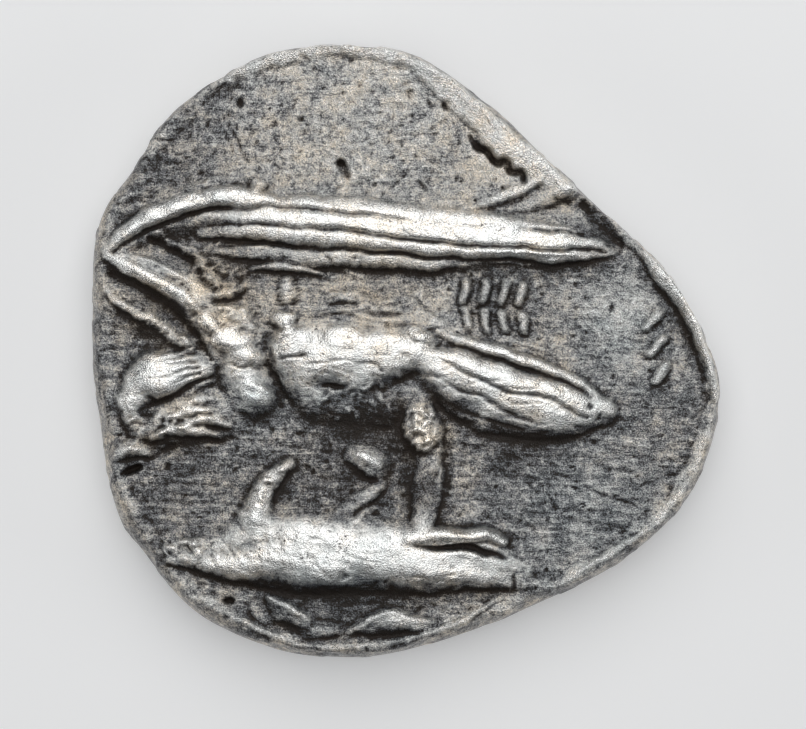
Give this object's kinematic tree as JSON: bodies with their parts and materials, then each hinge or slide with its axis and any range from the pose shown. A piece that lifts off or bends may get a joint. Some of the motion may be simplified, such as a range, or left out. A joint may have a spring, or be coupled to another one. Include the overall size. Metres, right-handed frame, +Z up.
{
  "type": "hammered silver coin",
  "caption": "Irregular hammered silver coin struck in relief with a sea bird on a dolphin, lying on its plain punched side.",
  "frame": {"origin": "on the underside, in the middle of the coin's outline box", "axes": "+Z up out of the struck picture, +Y towards the top of the picture, +X towards the tip of the bird's tail"},
  "size_m": [0.019, 0.0186, 0.0026],
  "materials": {
    "silver": "worn hammered silver, bright on the high points and toned grey to brown in the hollows"
  },
  "bodies": {
    "root": {"coin": "silver"}
  },
  "joints": []
}
